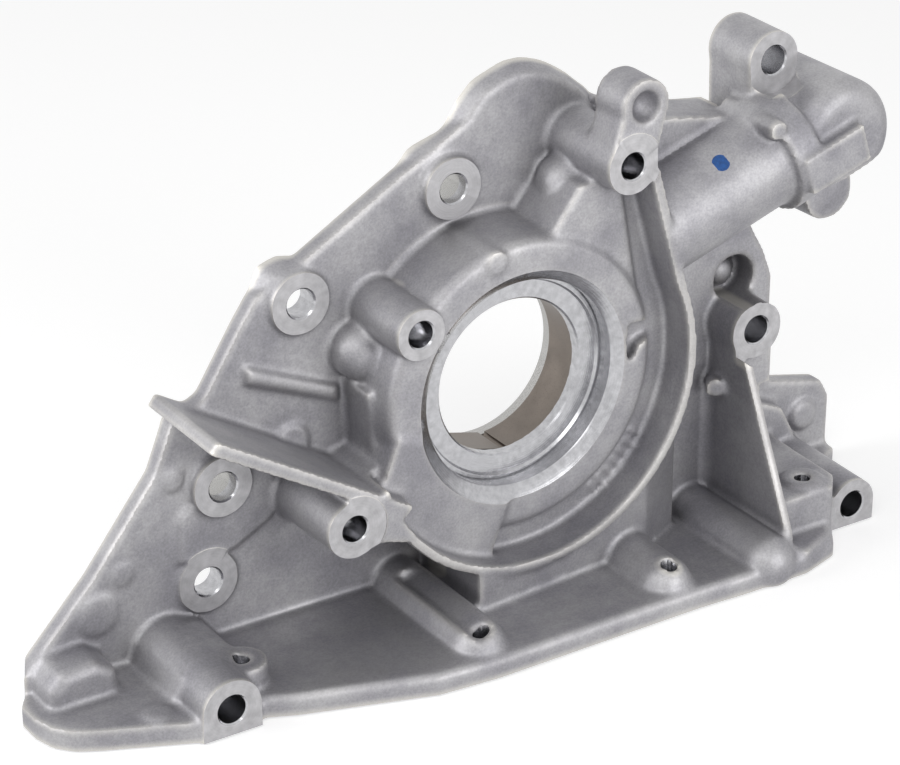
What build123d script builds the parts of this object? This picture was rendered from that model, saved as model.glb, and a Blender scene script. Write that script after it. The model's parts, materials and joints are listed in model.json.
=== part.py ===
from build123d import *
from math import atan2, cos, hypot, pi, radians, sin
import os

# Engine oil pump: a die-cast casing with a gerotor set on the crankshaft nose.
# Axes: +X right and +Z up when looking at the timing side, -Y towards the viewer.
# Origin: crank axis on the face that meets the cylinder block. Sizes in mm.

# Casing levels
plate_front = -6.0
block_face = 0.0
sump_face = -72.0
base_top = -65.5
rim_front = -37.0
hub_front = -29.0
recess_floor = -25.0
panel_front = -17.0

# Drum and hub
rim_outer_radius = 57.0
rim_wall = 3.0
hub_radius = 46.0
hub_foot_radius = 47.2

# Crank seal seat and rotor pocket
seal_bore_radius = 32.5
seal_seat = -22.0
seal_mouth_radius = 36.0
seal_mouth_depth = 2.0
lip_radius = 24.6
pocket_floor = -17.0
cover_thickness = 4.0
cover_bore_radius = 26.5
cover_side_clearance = 0.05

# Gerotor set: circular lobes outside, their conjugate inside
inner_lobes = 9
outer_lobes = 10
eccentricity = 2.0
eccentric_angle = 135.0
lobe_circle_radius = 35.0
lobe_radius = 4.5
lobe_clearance = 0.06
outer_rotor_wall = 3.0
outer_rotor_radius = lobe_circle_radius + 2.0 * eccentricity - lobe_radius + outer_rotor_wall
rotor_side_clearance = 0.08
rotor_end_clearance = 0.05
inner_rotor_wall = 2.7
drive_bore_radius = lobe_circle_radius - eccentricity - lobe_radius - inner_rotor_wall
drive_flat_height = 1.2
drive_flat_distance = drive_bore_radius - drive_flat_height
drive_flat_tilt = 14.7
drive_relief_radius = 1.2

# Cover fasteners
cover_screw_count = 6
cover_screw_first_angle = 15.0
cover_screw_radius = 2.5
cover_screw_land = 1.0
cover_screw_circle = outer_rotor_radius + eccentricity + cover_screw_land + cover_screw_radius
cover_screw_length = 13.0
cover_screw_head_radius = 4.6
cover_edge = 1.4
cover_radius = cover_screw_circle + cover_screw_head_radius + cover_edge
cover_screw_head_depth = 2.3
cover_screw_key = 1.5
cover_dowel_radius = 2.0
cover_dowel_length = 9.0
cover_dowel_angles = (45.0, 225.0)
thread_clearance = 0.04

# Bolt holes for M8 screws and tapped holes
bolt_hole_radius = 4.4
tapped_m8_radius = 3.4
sump_thread_radius = 2.5
boss_draft = 0.02

# Outlet tube and its elbow to the block
tube_origin = (91.0, -22.0, 51.0)
tube_angle = 18.5
tube_radius = 16.0
tube_start = -46.0
collar_radius = 19.0
elbow_distance = 21.0
elbow_radius = 18.0
elbow_drop = 1.5
elbow_front = -38.0
elbow_rounding = 6.5

# Pressure relief valve, upright between the sump face and its seat
relief_position = (24.0, -13.0)
relief_bore_radius = 8.0
relief_seat = -42.0
relief_inlet_radius = 2.8
piston_clearance = 0.03
piston_length = 13.0
piston_wall = 1.6
piston_crown = 3.0
plug_radius = 9.5
plug_length = 7.5
plug_recess = 0.5
plug_vent_radius = 1.5
plug_clearance = 0.04
plug_key_radius = 4.6
plug_key_depth = 4.5
spring_wire_radius = 0.7
spring_turns = 6.0
spring_mean_radius = 4.8
spring_clearance = 0.1

# Oil ways
port_inner_land = 3.1
port_inner_radius = drive_bore_radius + port_inner_land
port_outer_land = 3.3
port_outer_radius = outer_rotor_radius - port_outer_land
port_depth = 3.0
gallery_radius = 4.6
outlet_port_radius = 8.5
outlet_ring_radius = 11.5
ring_section_radius = 1.3
ring_groove_depth = 2.0
inlet_port_radius = 8.5
inlet_position = (-12.0, -14.0)
inlet_ring_radius = 11.5

# Hollow dowels on the block face
block_dowel_radius = 6.5
block_dowel_depth = 5.0
block_dowel_stand_out = 4.0

# Front view positions (x, z) of the fixing points on the plate, with the pad level
plate_seats = ((-11.8, 57.9, -9.0), (-62.6, 33.8, -8.0), (-90.3, -15.9, -9.6), (-95.0, -46.5, -7.2))
seat_pad_radius = 9.4
block_dowel_seats = (0, 2)

# Sump screw bosses (x, y of the hole)
sump_holes = ((-99.0, -32.5), (-30.8, -52.7), (36.6, -53.1), (95.0, -43.5))
ridge_radius = 8.7
ridge_axis_z = -66.7
ridge_noses = ((-30.8, -51.0), (36.6, -51.0), (71.5, -56.5))


def front_slab(points, back, front):
    """Prism on a front view outline between two depths."""
    face = make_face(Polyline(*points, close=True))
    return extrude(Plane.XZ.offset(-back) * face, amount=back - front)


def top_slab(points, low, high):
    """Prism on a plan outline between two heights."""
    face = make_face(Polyline(*points, close=True))
    return extrude(Plane.XY.offset(low) * face, amount=high - low)


def round_bar(x, z, radius, back, front):
    """Straight cylinder along Y."""
    return extrude(Plane.XZ.offset(-back) * Pos(x, z) * Circle(radius), amount=back - front)


def upright_bar(x, y, radius, low, high):
    """Straight cylinder along Z."""
    return extrude(Plane.XY.offset(low) * Pos(x, y) * Circle(radius), amount=high - low)


def boss(x, z, radius, front, back=plate_front + 1.0):
    """Cast boss along Y with a little draft."""
    length = back - front
    base = Plane(origin=(x, back, z), x_dir=(1, 0, 0), z_dir=(0, -1, 0))
    foot = radius + boss_draft * length
    return base * Cone(foot, radius, length, align=(Align.CENTER, Align.CENTER, Align.MIN))


def dome(x, y, z, radius):
    """Ball used as a rounded cast swelling."""
    return Pos(x, y, z) * Sphere(radius)


def rod(start, end, radius):
    """Cylinder between two points."""
    first = Vector(*start)
    way = Vector(*end) - first
    base = Plane(origin=first, z_dir=way)
    return base * Cylinder(radius, way.length, align=(Align.CENTER, Align.CENTER, Align.MIN))


def on_tube(distance):
    """Plane across the tube axis at a distance from the tube origin."""
    tilt = radians(tube_angle)
    x0, y0, z0 = tube_origin
    origin = (x0 + distance * cos(tilt), y0, z0 + distance * sin(tilt))
    return Plane(origin=origin, x_dir=(0, -1, 0), z_dir=(cos(tilt), 0, sin(tilt)))


def tube_point(distance):
    """Front view point (x, z) on the tube axis."""
    place = on_tube(distance).origin
    return place.X, place.Z


def tube_section(radius, start, end):
    """Cylinder on the tube axis."""
    return on_tube(start) * Cylinder(radius, end - start, align=(Align.CENTER, Align.CENTER, Align.MIN))


def eccentric_centre():
    """Centre (x, z) of the outer rotor."""
    turn = radians(eccentric_angle)
    return eccentricity * cos(turn), eccentricity * sin(turn)


def on_circle(radius, angle):
    """Point (x, z) on a circle round the crank axis."""
    turn = radians(angle)
    return radius * cos(turn), radius * sin(turn)


def plate():
    """Rear plate with its taper towards the block face."""
    outline = [
        (-157.5, sump_face), (-157.5, -62.0), (-153.5, -60.0), (-131.0, -36.0), (-110.0, -9.0),
        (-104.0, 6.0), (-93.3, 11.0), (-81.4, 29.7), (-76.0, 37.5), (-69.0, 42.0), (-61.5, 44.8),
        (-28.1, 63.9), (-14.6, 71.0), (-0.9, 78.9), (5.9, 82.9), (12.9, 84.6), (19.8, 84.7),
        (26.9, 83.0), (34.1, 78.5), (44.0, 66.0), (84.0, 58.0), (95.5, 21.7), (97.0, 16.3),
        (105.5, 7.4), (105.5, -6.0), (106.5, -30.0), (112.0, -37.0), (133.0, -42.0),
        (136.5, -48.2), (136.5, sump_face),
    ]
    body = front_slab(outline, block_face, plate_front)
    lobes = [
        [(-12.0, 68.0), (-10.7, 73.5), (-5.6, 81.5), (-0.4, 86.6), (9.9, 90.4), (16.9, 90.5),
         (23.9, 88.3), (31.1, 84.1), (42.0, 75.0), (30.0, 50.0)],
        [(-79.0, 28.0), (-76.2, 37.0), (-72.6, 45.3), (-66.1, 47.2), (-57.0, 45.0), (-50.0, 30.0)],
        [(-30.0, 60.0), (-26.0, 65.6), (-22.6, 69.8), (-17.5, 71.6), (-8.0, 74.0), (-5.0, 60.0)],
        [(-106.0, -4.0), (-105.0, 5.5), (-87.0, 13.0), (-80.0, 0.0), (-95.0, -12.0)],
    ]
    for points in lobes:
        face = make_face(Polyline(*points, close=True))
        body += extrude(Plane.XZ * face, amount=-plate_front, taper=32)
    return body


def base():
    """Sump flange with its front lip, ridges and foot bosses."""
    outline = [
        (-157.5, block_face), (-157.5, -19.0), (-155.5, -26.0), (-151.3, -30.9), (-145.3, -34.2),
        (-119.1, -46.0), (-101.4, -47.0), (-99.0, -43.8), (-89.2, -48.2), (-50.1, -60.8),
        (-30.8, -62.3), (5.2, -62.0), (42.5, -61.6), (60.0, -62.4), (83.0, -62.4), (97.0, -58.0),
        (106.3, -45.2), (122.0, -45.2), (126.0, -16.0), (136.5, -10.0), (136.5, block_face),
    ]
    body = top_slab(outline, sump_face, base_top)
    body = fillet(body.edges().group_by(Axis.Z)[-1].sort_by(Axis.Y)[:12], 2.5)
    for x, nose in ridge_noses:
        body += round_bar(x, ridge_axis_z, ridge_radius, block_face, nose)
        body += dome(x, nose, ridge_axis_z, ridge_radius)
    return body


def foot_boss():
    """Left foot: fixing boss, sump boss and the block at the corner."""
    x, z = -110.0, -64.0
    body = boss(x, z, 9.3, -47.0)
    body += front_slab([(x - 9.3, sump_face), (x - 9.3, z), (x + 9.3, z), (x + 9.3, sump_face)], 0.0, -47.0)
    hole_x, hole_y = sump_holes[0]
    body += upright_bar(hole_x, hole_y, 7.6, sump_face, -58.0)
    body += front_slab([(-122.0, base_top - 1.0), (-118.0, -58.0), (-108.0, -54.5), (-99.0, -57.0),
                        (-92.0, base_top - 1.0)], 0.0, -33.0)
    corner = front_slab([(-152.0, sump_face), (-152.0, -60.0), (-148.0, -55.0), (-137.0, -54.0),
                         (-131.0, -58.0), (-128.0, sump_face)], 0.0, -19.0)
    body += fillet(corner.edges().filter_by(Axis.Y, reverse=True).group_by(Axis.Y)[0], 3.5)
    body += upright_bar(-127.5, -35.0, 4.2, sump_face, -64.3)
    return body


def interior(back):
    """Space inside the rim and the straight wall, from a depth to the front."""
    radius = rim_outer_radius - rim_wall
    space = round_bar(0.0, 0.0, radius, back, rim_front - 3.0)
    return space + front_slab([(-10.0, 0.0), (radius - 0.3, 6.0), (37.6, 61.5), (20.0, 61.5)],
                              back, rim_front - 3.0)


def drum():
    """Round front housing: rim, recess, hub and the land up to the upper boss."""
    body = round_bar(0.0, 0.0, rim_outer_radius, block_face, rim_front)
    body -= front_slab([(-80.0, -36.0), (-52.0, -16.0), (0.0, 0.0), (48.0, 31.0), (70.0, 80.0),
                        (-80.0, 80.0)], block_face + 1.0, rim_front - 1.0)
    body += front_slab([(0.0, -20.0), (56.0, 6.0), (rim_outer_radius - 0.4, 8.0), (41.2, 62.0),
                        (30.0, 66.0), (10.0, 45.0)], block_face, rim_front)
    body += top_slab([(-21.0, block_face), (-21.0, -37.4), (44.0, -31.5), (60.0, -24.0), (60.0, block_face)],
                     sump_face, -30.0)
    body += front_slab([(-64.0, -16.0), (-40.0, -28.0), (-45.0, -35.0), (-54.0, -32.5), (-62.0, -33.0)], block_face, rim_front)
    body -= interior(recess_floor)
    hub = round_bar(0.0, 0.0, hub_radius, recess_floor + 12.0, hub_front)
    hub = fillet(hub.edges().group_by(Axis.Y)[0], 3.0)
    foot = Plane.XZ * Cone(hub_foot_radius, hub_radius, -hub_front - 3.0,
                           align=(Align.CENTER, Align.CENTER, Align.MIN))
    land = front_slab([(0.0, 0.0), (44.2, 5.0), (36.0, 48.0), (33.5, 60.0), (20.0, 58.0), (8.0, 42.0)],
                      block_face, hub_front + 1.5)
    lower_left = front_slab([(-44.0, -5.0), (-50.0, -20.0), (-43.0, -36.0), (-30.0, -46.0), (-12.0, -53.5),
                             (0.0, -20.0)], block_face, hub_front - 1.0)
    return body + foot + hub + land + lower_left


def fixing_bosses():
    """Front bosses with machined faces, their webs and the fin."""
    body = boss(-63.1, -25.3, 9.0, -37.0)
    body += boss(-37.5, 27.0, 7.8, -32.0)
    body += dome(-44.5, -9.0, 15.5, 8.6)
    body += boss(31.4, 64.7, 8.6, -37.0)
    body += boss(35.4, 82.0, 8.3, -37.0, -23.0)
    body += front_slab([(23.5, 66.0), (27.4, 80.0), (43.6, 81.0), (39.6, 66.0)], -23.0, -37.0)
    body += dome(24.5, -13.0, 53.5, 9.0)
    body += boss(85.2, -2.8, 9.2, -30.0)
    body += front_slab([(76.5, -3.0), (94.3, -3.0), (94.5, -23.6), (80.0, -26.0)], block_face, -27.0)
    body += boss(114.8, -65.0, 8.6, -45.2, block_face)
    body += front_slab([(106.3, sump_face), (106.2, -65.0), (123.4, -65.0), (122.5, sump_face)], 0.0, -45.2)
    fin = [(-106.0, 14.1), (-108.5, 10.6), (-46.0, -26.6), (-43.0, -23.6)]
    body += front_slab(fin, block_face, rim_front)
    for x, z, front in plate_seats:
        body += boss(x, z, seat_pad_radius, front)
    return body


def right_side():
    """Right housing panel, gusset, sump corner block and the hollow under the tube."""
    panel = [(45.0, 30.0), (60.0, 40.0), (84.5, 40.0), (94.3, 21.7), (97.5, 16.3), (101.0, 7.4),
             (101.0, -6.0), (94.0, -24.0), (84.0, -30.0), (82.0, sump_face), (40.0, sump_face), (40.0, -30.0)]
    body = front_slab(panel, block_face, panel_front)
    web = make_face(Polyline((-10.0, -2.0), (-31.0, -4.0), (-33.5, -8.0), (-58.5, -59.5), (-58.5, -66.0),
                             (-10.0, -66.0), close=True))
    body += extrude(Plane.YZ.offset(77.4) * web, amount=3.2)
    body += rod((78.5, panel_front, -24.0), (78.5, panel_front, -64.0), 2.6)
    body += rod((78.5, -19.0, -22.0), (74.0, -25.0, -22.0), 3.2)
    block = top_slab([(80.0, block_face), (80.0, -60.0), (83.0, -62.4), (95.8, -57.0), (106.3, -45.2),
                      (108.0, block_face)], sump_face, -51.5)
    block -= top_slab([(70.0, -70.0), (130.0, -70.0), (130.0, -51.5), (70.0, -51.5)], -64.0, -40.0)
    body += block
    hole_x, hole_y = sump_holes[3]
    body += upright_bar(hole_x, hole_y, 6.6, sump_face, -50.0)
    body += front_slab([(106.0, -62.0), (118.0, -55.0), (112.0, -44.0), (90.0, -34.0), (84.0, -50.0)],
                       block_face, -12.0)
    body += boss(97.5, -34.5, 4.5, -13.0)
    body += boss(125.0, -52.0, 5.0, -8.0)
    return body


def tube():
    """Outlet tube with its elbow to the block face, lugs, pads and webs."""
    x, z = tube_point(elbow_distance)
    elbow = round_bar(x, z - elbow_drop, elbow_radius, block_face, elbow_front)
    elbow = fillet(elbow.edges().group_by(Axis.Y)[0], elbow_rounding)
    under = on_tube(elbow_distance) * Pos(0.0, elbow_radius + 13.0, 0.0) * Box(60.0, 2.0 * elbow_radius, 60.0)
    body = elbow - under
    body += tube_section(collar_radius, -1.0, 9.0)
    body += tube_section(tube_radius, tube_start, elbow_distance)
    body += front_slab([(45.0, 30.0), (45.0, 49.0), (85.6, 57.0), (89.5, 71.0), (100.0, 76.0), (116.0, 66.0),
                        (127.0, 52.0), (126.0, 28.0), (113.0, 30.0), (100.0, 36.0)], block_face, -13.0)
    body += front_slab([(38.0, 58.0), (41.0, 74.0), (54.6, 68.7), (74.8, 65.2), (84.0, 64.0), (70.0, 52.0),
                        (48.0, 44.0)], block_face, -18.0)
    body += boss(95.0, 79.4, 9.0, -20.0, block_face)
    body += front_slab([(86.5, 62.0), (86.2, 80.5), (103.8, 78.0), (104.0, 62.0)], block_face, -20.0)
    body += boss(119.5, 31.8, 9.2, -20.0, block_face)
    body += boss(119.5, 31.8, 4.7, -20.8, -19.0)
    body += boss(84.5, 64.4, 3.1, -37.0, -12.0)
    pad = on_tube(12.5) * Pos(14.0, 2.0, 0.0) * Box(13.0, 12.5, 23.0)
    return body + pad


def surface_details():
    """Small cast pads, bars and discs seen on the plate, the hub and the base."""
    body = front_slab([(-80.5, 17.8), (-50.5, 4.5), (-50.5, 0.2), (-80.5, 13.0)], block_face, -8.0)
    body += front_slab([(-48.0, 6.0), (-40.5, 6.0), (-38.5, -19.0), (-46.5, -21.0)], block_face, -19.5)
    body += boss(-130.1, -47.0, 6.0, -6.8)
    body += boss(-121.9, -36.5, 3.2, -6.6)
    body += boss(-104.8, -11.1, 3.2, -6.8)
    body += front_slab([(-103.0, -24.0), (-104.0, -38.0), (-86.0, -38.0), (-73.0, -31.0), (-72.0, -16.0),
                        (-84.0, -8.0)], block_face, -7.2)
    body += boss(-10.3, 42.0, 3.6, -29.8)
    body += boss(-66.0, -10.0, 5.5, -7.2)
    for step in range(7):
        angle = -57.0 + 4.0 * step
        mark = [on_circle(49.0, angle - 0.6), on_circle(52.5, angle - 0.6), on_circle(52.5, angle + 0.6),
                on_circle(49.0, angle + 0.6)]
        body += front_slab(mark, recess_floor + 1.0, recess_floor - 0.7)
    return body


def port(angle):
    """Kidney port in the pocket floor."""
    ring = round_bar(0.0, 0.0, port_outer_radius, pocket_floor + 1.0, pocket_floor - port_depth)
    ring -= round_bar(0.0, 0.0, port_inner_radius, pocket_floor + 2.0, pocket_floor - port_depth - 1.0)
    left = on_circle(70.0, angle + 56.0)
    right = on_circle(70.0, angle - 56.0)
    far = on_circle(110.0, angle)
    return ring & front_slab([(0.0, 0.0), right, far, left], 0.0, -60.0)


def outlet_groove(x, z):
    """O-ring groove in the block face."""
    ring = round_bar(x, z, outlet_ring_radius + ring_section_radius, 1.0, -ring_groove_depth)
    return ring - round_bar(x, z, outlet_ring_radius - ring_section_radius, 2.0, -ring_groove_depth - 1.0)


def inlet_groove(x, y):
    """O-ring groove in the sump face."""
    top = sump_face + ring_groove_depth
    ring = upright_bar(x, y, inlet_ring_radius + ring_section_radius, sump_face - 1.0, top)
    return ring - upright_bar(x, y, inlet_ring_radius - ring_section_radius, sump_face - 2.0, top + 1.0)


def oil_ways():
    """Ports, galleries, outlet and relief passages."""
    x_in, y_in = inlet_position
    body = port(45.0) + port(225.0)
    body += rod((-21.5, pocket_floor + 0.8, -22.5), (x_in, y_in, -50.0), gallery_radius)
    body += dome(x_in, y_in, -50.0, gallery_radius)
    body += upright_bar(x_in, y_in, inlet_port_radius, sump_face - 1.0, -50.0)
    bend = (38.0, -15.5, 33.0)
    into_tube = on_tube(-24.0).origin
    body += rod((22.0, -17.2, 22.0), bend, gallery_radius - 1.5)
    body += dome(*bend, gallery_radius)
    body += rod(bend, tuple(into_tube), gallery_radius)
    body += tube_section(outlet_port_radius, -24.0, elbow_distance)
    x_out, z_out = tube_point(elbow_distance)
    body += dome(x_out, tube_origin[1], z_out, outlet_port_radius)
    body += round_bar(x_out, z_out, outlet_port_radius, 1.0, tube_origin[1])
    x_relief, y_relief = relief_position
    body += upright_bar(x_relief, y_relief, relief_bore_radius, sump_face - 1.0, relief_seat)
    body += upright_bar(x_relief, y_relief, plug_radius, sump_face - 1.0, sump_face + plug_length)
    knee = (28.5, -20.5, -36.0)
    body += rod((31.5, -18.0, -6.0), knee, relief_inlet_radius)
    body += rod(knee, (x_relief, y_relief, relief_seat - 0.5), relief_inlet_radius)
    drain_z = relief_seat - 3.6
    body += rod((x_relief, y_relief, drain_z), (x_in, y_in, drain_z - 3.0), relief_inlet_radius)
    return body + outlet_groove(x_out, z_out) + inlet_groove(x_in, y_in)


def bolt_holes():
    """Through holes, tapped holes and the dowel seats."""
    body = Part()
    for x, z, front in plate_seats:
        body += round_bar(x, z, bolt_hole_radius, 1.0, front - 1.0)
    for index in block_dowel_seats:
        x, z, front = plate_seats[index]
        body += round_bar(x, z, block_dowel_radius + thread_clearance, 1.0, -block_dowel_depth)
    for x, z, front in ((-110.0, -64.0, -47.0), (85.2, -2.8, -30.0), (114.8, -65.0, -45.2), (95.0, 79.4, -20.0)):
        body += round_bar(x, z, bolt_hole_radius, 1.0, front - 1.0)
    for x, z, front, depth in ((-63.1, -25.3, -37.0, 18.0), (-37.5, 27.0, -32.0, 14.0), (31.4, 64.7, -37.0, 20.0)):
        body += round_bar(x, z, tapped_m8_radius + 0.6, front + depth, front - 1.0)
        tip = Plane(origin=(x, front + depth, z), x_dir=(1, 0, 0), z_dir=(0, 1, 0))
        body += tip * Cone(tapped_m8_radius + 0.6, 0.0, 2.4, align=(Align.CENTER, Align.CENTER, Align.MIN))
    body += dome(35.4, -37.0, 82.0, 4.8)
    for x, y in sump_holes:
        body += upright_bar(x, y, sump_thread_radius, sump_face - 1.0, 0.0) - front_slab(
            [(x - 9.0, -40.0), (x + 9.0, -40.0), (x + 9.0, 9.0), (x - 9.0, 9.0)], 0.0, -80.0)
    return body


def cored_pockets():
    """Hollows left by the die on the block side and the front."""
    body = front_slab([(48.0, -58.0), (74.0, -58.0), (74.0, -10.0), (66.0, 8.0), (62.0, 8.0), (62.0, -20.0)],
                      1.0, panel_front + 5.0)
    body += front_slab([(4.0, sump_face + 8.0), (40.0, sump_face + 8.0), (36.0, -56.0), (4.0, -61.0)], 1.0, -24.0)
    body += front_slab([(84.0, -60.0), (102.0, -60.0), (100.0, -42.0), (86.0, -38.0)], 1.0, -8.0)
    body += front_slab([(-34.0, -62.0), (-47.0, -48.0), (-52.0, -38.0), (-36.0, -46.0), (-25.0, -58.0)],
                       -14.0, -60.0)
    body += front_slab([(36.8, 4.5), (37.5, 10.5), (47.0, 9.5), (47.0, 5.0), (41.0, 3.0), (39.5, -1.5),
                        (37.0, -0.5)], recess_floor, hub_front - 2.0)
    hollow = round_bar(86.0, 9.5, 7.4, -8.0, -30.0) - dome(86.0, -7.0, 9.5, 5.4)
    return body + hollow


def crank_way():
    """Seal seat, lip hole, rotor pocket and the recess for the cover."""
    x, z = eccentric_centre()
    body = round_bar(0.0, 0.0, lip_radius, 1.0, hub_front - 3.0)
    body += round_bar(0.0, 0.0, seal_bore_radius, seal_seat, hub_front - 3.0)
    mouth = Plane(origin=(0, hub_front, 0), x_dir=(1, 0, 0), z_dir=(0, 1, 0))
    body += mouth * Cone(seal_mouth_radius, seal_bore_radius, seal_mouth_depth, align=(Align.CENTER, Align.CENTER, Align.MIN))
    body += round_bar(x, z, outer_rotor_radius + rotor_side_clearance, 1.0, pocket_floor)
    body += round_bar(0.0, 0.0, cover_radius + cover_side_clearance, 1.0, -cover_thickness)
    for index in range(cover_screw_count):
        sx, sz = screw_place(index)
        body += round_bar(sx, sz, cover_screw_radius + thread_clearance, 0.0, -cover_screw_length - 1.5)
    for angle in cover_dowel_angles:
        dx, dz = on_circle(cover_screw_circle, angle)
        body += round_bar(dx, dz, cover_dowel_radius + thread_clearance, 0.0, -cover_dowel_length - 0.5)
    return body


def make_casing():
    """Die-cast casing with its machined seats."""
    body = plate() + base() + foot_boss() + drum() + fixing_bosses() + right_side() + tube()
    for detail in surface_details().solids():
        body += detail
    for cutters in (cored_pockets(), oil_ways(), crank_way(), bolt_holes()):
        for cutter in cutters.solids():
            body -= cutter
    body -= top_slab([(-170.0, 5.0), (-149.5, 5.0), (-150.0, 0.0), (-158.0, -11.0), (-170.0, -11.0)], -80.0, -30.0)
    body -= Pos(0.0, 50.0, 0.0) * Box(600.0, 100.0, 400.0)
    body -= Pos(0.0, 0.0, sump_face - 50.0) * Box(600.0, 400.0, 100.0)
    return largest(body)


def largest(shape):
    """Keep the one connected solid."""
    return sorted(shape.solids(), key=lambda solid: solid.volume)[-1]


def screw_place(index):
    """Position (x, z) of a cover screw."""
    return on_circle(cover_screw_circle, cover_screw_first_angle + 360.0 / cover_screw_count * index)


def inner_profile():
    """Conjugate curve of the outer lobes, as seen from the crank axis."""
    reach = lobe_radius + lobe_clearance
    ratio = lobe_circle_radius / (eccentricity * outer_lobes)
    points = []
    count = 360
    for step in range(count):
        turn = 2.0 * pi * step / count
        lean = atan2(sin(-inner_lobes * turn), ratio - cos(-inner_lobes * turn))
        x = lobe_circle_radius * cos(turn) - reach * cos(turn + lean) - eccentricity * cos(outer_lobes * turn)
        z = -lobe_circle_radius * sin(turn) + reach * sin(turn + lean) + eccentricity * sin(outer_lobes * turn)
        points.append((x, z))
    return points


def make_inner_rotor():
    """Inner rotor with the two drive flats for the crank nose."""
    back = -cover_thickness - rotor_end_clearance
    front = pocket_floor + rotor_end_clearance
    curve = Spline(*inner_profile(), periodic=True)
    face = Rot(0, 0, eccentric_angle + 180.0) * make_face(curve)
    body = extrude(Plane.XZ.offset(-back) * face, amount=back - front)
    hole = round_bar(0.0, 0.0, drive_bore_radius, 1.0, front - 1.0)
    half = drive_flat_distance
    slot = Plane.XZ * Rot(0, 0, -drive_flat_tilt) * Rectangle(80.0, 2.0 * half)
    hole = hole & extrude(slot, amount=40.0)
    edge = (drive_bore_radius ** 2 - half ** 2) ** 0.5
    for side in (-1, 1):
        for end in (-1, 1):
            spot = Vector(end * edge, side * half).rotate(Axis.Z, -drive_flat_tilt)
            hole += round_bar(spot.X, spot.Y, drive_relief_radius, 1.0, front - 1.0)
    return largest(body - hole)


def make_outer_rotor():
    """Outer rotor with circular lobes."""
    back = -cover_thickness - rotor_end_clearance
    front = pocket_floor + rotor_end_clearance
    x, z = eccentric_centre()
    cavity_radius = lobe_circle_radius + eccentricity - lobe_radius + eccentricity
    body = round_bar(0.0, 0.0, outer_rotor_radius, back, front)
    hollow = round_bar(0.0, 0.0, cavity_radius, 0.0, front - 1.0)
    for index in range(outer_lobes):
        lx, lz = on_circle(lobe_circle_radius, eccentric_angle + 360.0 / outer_lobes * index)
        hollow -= round_bar(lx, lz, lobe_radius, 1.0, front - 2.0)
    body -= hollow
    body = chamfer(body.edges().filter_by(GeomType.CIRCLE).sort_by(SortBy.RADIUS)[-2:], 0.5)
    return largest(Pos(x, 0.0, z) * body)


def make_rear_cover():
    """Flat steel cover with countersunk screw holes."""
    body = round_bar(0.0, 0.0, cover_radius, block_face, -cover_thickness)
    body = chamfer(body.edges(), 0.3)
    body -= round_bar(0.0, 0.0, cover_bore_radius, 1.0, -cover_thickness - 1.0)
    for index in range(cover_screw_count):
        x, z = screw_place(index)
        body -= round_bar(x, z, cover_screw_radius + 0.25, 1.0, -cover_thickness - 1.0)
        sink = Plane(origin=(x, 0, z), x_dir=(1, 0, 0), z_dir=(0, -1, 0))
        depth = cover_screw_head_depth + 0.05
        body -= sink * Cone(cover_screw_head_radius + 0.05, cover_screw_radius + 0.05, depth,
                            align=(Align.CENTER, Align.CENTER, Align.MIN))
    for angle in cover_dowel_angles:
        x, z = on_circle(cover_screw_circle, angle)
        body -= round_bar(x, z, cover_dowel_radius + thread_clearance, 1.0, -cover_thickness - 1.0)
    return largest(body)


def make_cover_screws():
    """Countersunk screws of the rear cover, one solid each."""
    screws = []
    for index in range(cover_screw_count):
        x, z = screw_place(index)
        body = round_bar(x, z, cover_screw_radius, -0.5, -cover_screw_length)
        sink = Plane(origin=(x, 0, z), x_dir=(1, 0, 0), z_dir=(0, -1, 0))
        body += sink * Cone(cover_screw_head_radius, cover_screw_radius, cover_screw_head_depth,
                            align=(Align.CENTER, Align.CENTER, Align.MIN))
        key = Plane.XZ * Pos(x, z) * RegularPolygon(cover_screw_key, 6)
        body -= extrude(key, amount=1.8)
        screws.append(body.solid())
    return Compound(children=screws)


def make_cover_dowels():
    """Dowel pins that centre the cover, one solid each."""
    pins = []
    for angle in cover_dowel_angles:
        x, z = on_circle(cover_screw_circle, angle)
        pin = round_bar(x, z, cover_dowel_radius, -0.4, -cover_dowel_length)
        pins.append(chamfer(pin.edges(), 0.3).solid())
    return Compound(children=pins)


def make_relief_piston():
    """Cup shaped relief piston resting under its seat."""
    x, y = relief_position
    top = relief_seat - 0.1
    radius = relief_bore_radius - piston_clearance
    body = upright_bar(x, y, radius, top - piston_length, top)
    body -= upright_bar(x, y, radius - piston_wall, top - piston_length - 1.0, top - piston_crown)
    return chamfer(body.solid().edges().group_by(Axis.Z)[-1], 0.8).solid()


def spring_span():
    """Lower and upper end of the relief spring."""
    low = sump_face + plug_length + spring_clearance
    high = relief_seat - 0.1 - piston_crown - spring_clearance
    return low, high


def make_relief_spring():
    """Relief spring between the plug and the piston."""
    x, y = relief_position
    low, high = spring_span()
    height = high - low - 2.0 * spring_wire_radius
    path = Helix(pitch=height / spring_turns, height=height, radius=spring_mean_radius)
    profile = Plane(origin=path @ 0, z_dir=path % 0) * Circle(spring_wire_radius)
    coil = sweep(profile, path=path, is_frenet=True)
    return (Pos(x, y, low + spring_wire_radius) * coil).solid()


def make_relief_plug():
    """Flush threaded plug with a hexagon socket and a vent hole."""
    x, y = relief_position
    bottom = sump_face + plug_recess
    body = upright_bar(x, y, plug_radius - plug_clearance, bottom, sump_face + plug_length)
    body = chamfer(body.edges().group_by(Axis.Z)[0], 0.6)
    body -= upright_bar(x, y, plug_vent_radius, bottom - 1.0, 0.0)
    key = Plane.XY.offset(bottom - 1.0) * Pos(x, y) * RegularPolygon(plug_key_radius, 6)
    return (body - extrude(key, amount=plug_key_depth + 1.0)).solid()


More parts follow.
